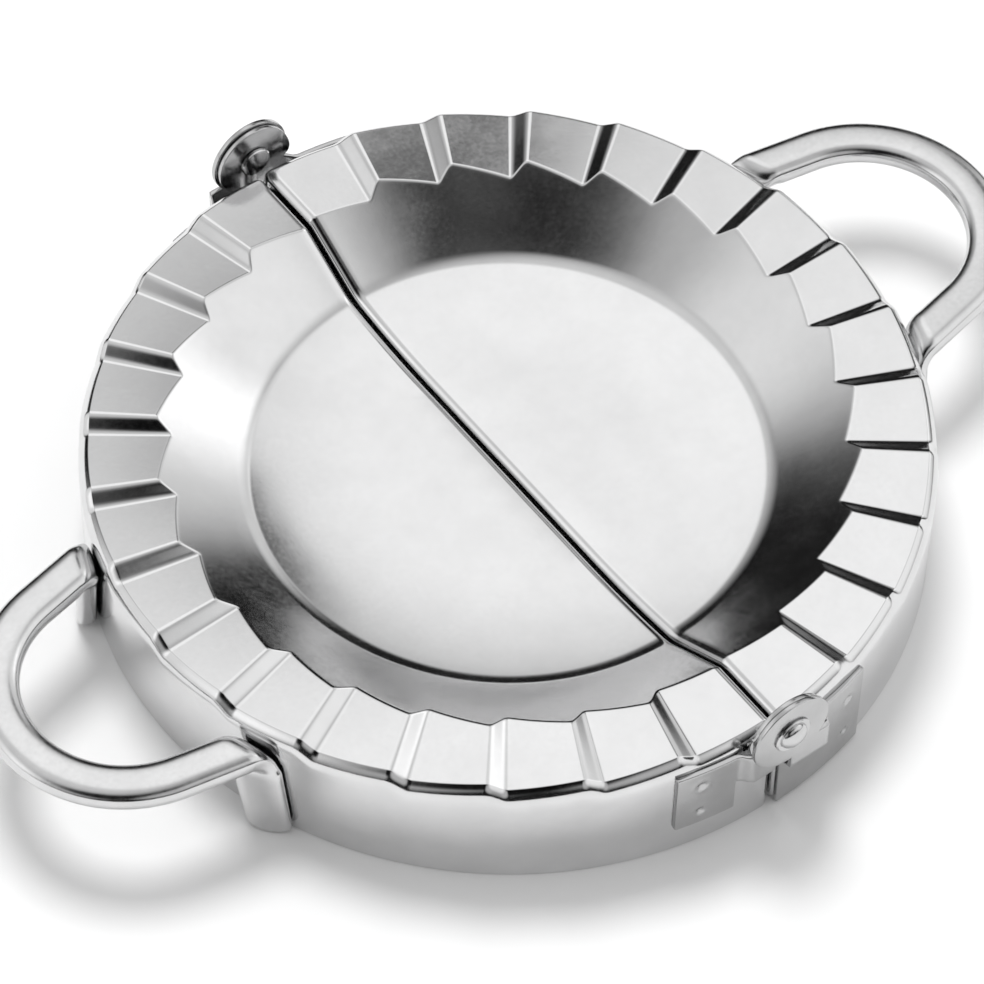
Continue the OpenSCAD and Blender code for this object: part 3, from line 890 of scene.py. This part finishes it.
# Lamps for the floor: name, heading, elevation, distance and width in metres, and watts
FLOOR_LAMPS = [
    ("key", 70, 66, 1.5, 0.6, 12.0),
    ("fill", -110, 70, 1.5, 1.0, 1.5),
]


def make_world():
    """White behind the floor, and for everything else a dim studio with soft boxes."""
    world = bpy.data.worlds.new("studio")
    bpy.context.scene.world = world
    world.use_nodes = True
    world.node_tree.nodes.clear()
    nodes = Nodes(world.node_tree)
    way = nodes.add("ShaderNodeTexCoord").outputs["Generated"]

    def disc(heading, elevation, radius, edge, strength):
        facing = nodes.add("ShaderNodeVectorMath", {
            0: way, 1: direction(heading, elevation)}, operation="DOT_PRODUCT")
        return nodes.ramp(facing.outputs["Value"], cos(radius + edge), cos(radius - edge),
                          0.0, strength, smoothed=True)

    level = GLOOM
    for box in SOFT_BOXES:
        level = nodes.math("ADD", disc(*box), level)
    for card in BLACK_CARDS:
        level = nodes.math("MULTIPLY", level, nodes.math("SUBTRACT", 1.0, disc(*card)))
    studio = nodes.add("ShaderNodeBackground", {"Strength": level})
    white = nodes.add("ShaderNodeBackground", {"Strength": 1.0})
    for background in (studio, white):
        background.inputs["Color"].default_value = (1, 1, 1, 1)
    seen = nodes.add("ShaderNodeLightPath").outputs["Is Camera Ray"]
    mix = nodes.add("ShaderNodeMixShader", {
        0: seen, 1: studio.outputs[0], 2: white.outputs[0]})
    nodes.add("ShaderNodeOutputWorld", {"Surface": mix.outputs[0]})


# Distance from the middle of the floor to its sides, in metres, its colour and its roughness
FLOOR_REACH = 3.0
FLOOR_COLOUR = (0.95, 0.95, 0.95, 1)
FLOOR_ROUGHNESS = 0.9


def make_floor():
    """Pale plain floor under the press."""
    made, nodes = new_material("pale_floor")
    shader = nodes.add("ShaderNodeBsdfPrincipled", {
        "Base Color": FLOOR_COLOUR, "Roughness": FLOOR_ROUGHNESS, "Specular IOR Level": 0.0})
    nodes.add("ShaderNodeOutputMaterial", {"Surface": shader.outputs[0]})
    reach = FLOOR_REACH
    mesh = bpy.data.meshes.new("floor")
    corners = [(-reach, -reach, 0), (reach, -reach, 0), (reach, reach, 0), (-reach, reach, 0)]
    mesh.from_pydata(corners, [], [(0, 1, 2, 3)])
    floor = bpy.data.objects.new("floor", mesh)
    bpy.context.scene.collection.objects.link(floor)
    floor.data.materials.append(made)


def make_lamp(name, heading, elevation, distance, width, power):
    """Soft lamp that lights the floor and stays out of the steel's reflections."""
    data = bpy.data.lights.new(name, "AREA")
    data.shape = "DISK"
    data.size = width
    data.energy = power
    lamp = bpy.data.objects.new(name, data)
    bpy.context.scene.collection.objects.link(lamp)
    lamp.location = Vector(direction(heading, elevation)) * distance
    lamp.rotation_mode = "QUATERNION"
    lamp.rotation_quaternion = lamp.location.to_track_quat("Z", "Y")
    lamp.visible_glossy = False


# The photograph's camera: where it stands in degrees and metres, how it is rolled, its frame,
# and the nearest and farthest distance that it sees
CAMERA_HEADING = -38.44
CAMERA_ELEVATION = 54.01
CAMERA_ROLL = 1.604
CAMERA_DISTANCE = 0.6
CAMERA_LENS = 194.27
CAMERA_SENSOR = 36.0
CAMERA_SHIFT = (-0.0149, 0.0257)
CAMERA_CLIP = (0.05, 20.0)


def make_camera():
    data = bpy.data.cameras.new("camera")
    data.lens = CAMERA_LENS
    data.sensor_width = CAMERA_SENSOR
    data.shift_x, data.shift_y = CAMERA_SHIFT
    data.clip_start, data.clip_end = CAMERA_CLIP
    camera = bpy.data.objects.new("camera", data)
    bpy.context.scene.collection.objects.link(camera)
    a, e = CAMERA_HEADING, CAMERA_ELEVATION
    back = Vector((sin(a) * cos(e), -cos(a) * cos(e), sin(e)))
    level_right = Vector((cos(a), sin(a), 0))
    level_up = back.cross(level_right)
    right = cos(CAMERA_ROLL) * level_right + sin(CAMERA_ROLL) * level_up
    up = back.cross(right)
    turn = Matrix((right, up, back)).transposed()
    camera.matrix_world = Matrix.Translation(back * CAMERA_DISTANCE) @ turn.to_4x4()
    bpy.context.scene.camera = camera


def make_press():
    """All ten pieces: each shape is made once for one half and once turned for the other."""
    shell_steel, tube_steel, leaf_steel_painted_dark, rivet_steel = [
        steel(name, *finish) for name, finish in FINISHES.items()
    ]
    halves = ((False, "right", "right_half"), (True, "left", "left_half"))
    shell, handle = half_shell(), half_handle()
    outer, inner, pin = outer_leaf(), inner_leaf(), rivet()
    for turned, side, body in halves:
        piece = make_piece(side + "_pleated_shell", shell, turned)
        dress(piece, side + "_shell", body, shell_steel)
        piece = make_piece(side + "_tube_handle", handle, turned)
        dress(piece, side + "_handle", body, tube_steel)
        end = "rear" if turned else "front"
        piece = make_piece(end + "_outer_hinge_leaf", outer, turned, LEAF_ROUND)
        dress(piece, end + "_outer_leaf", body, leaf_steel_painted_dark)
        other = "left_half" if body == "right_half" else "right_half"
        piece = make_piece(end + "_inner_hinge_leaf", inner, turned, LEAF_ROUND)
        dress(piece, end + "_inner_leaf", other, leaf_steel_painted_dark)
        piece = make_piece(end + "_hinge_rivet", pin, turned)
        dress(piece, end + "_rivet", body, rivet_steel)


bpy.context.scene.view_settings.view_transform = "Standard"
make_camera()
make_world()
make_floor()
for lamp in FLOOR_LAMPS:
    make_lamp(*lamp)
make_press()
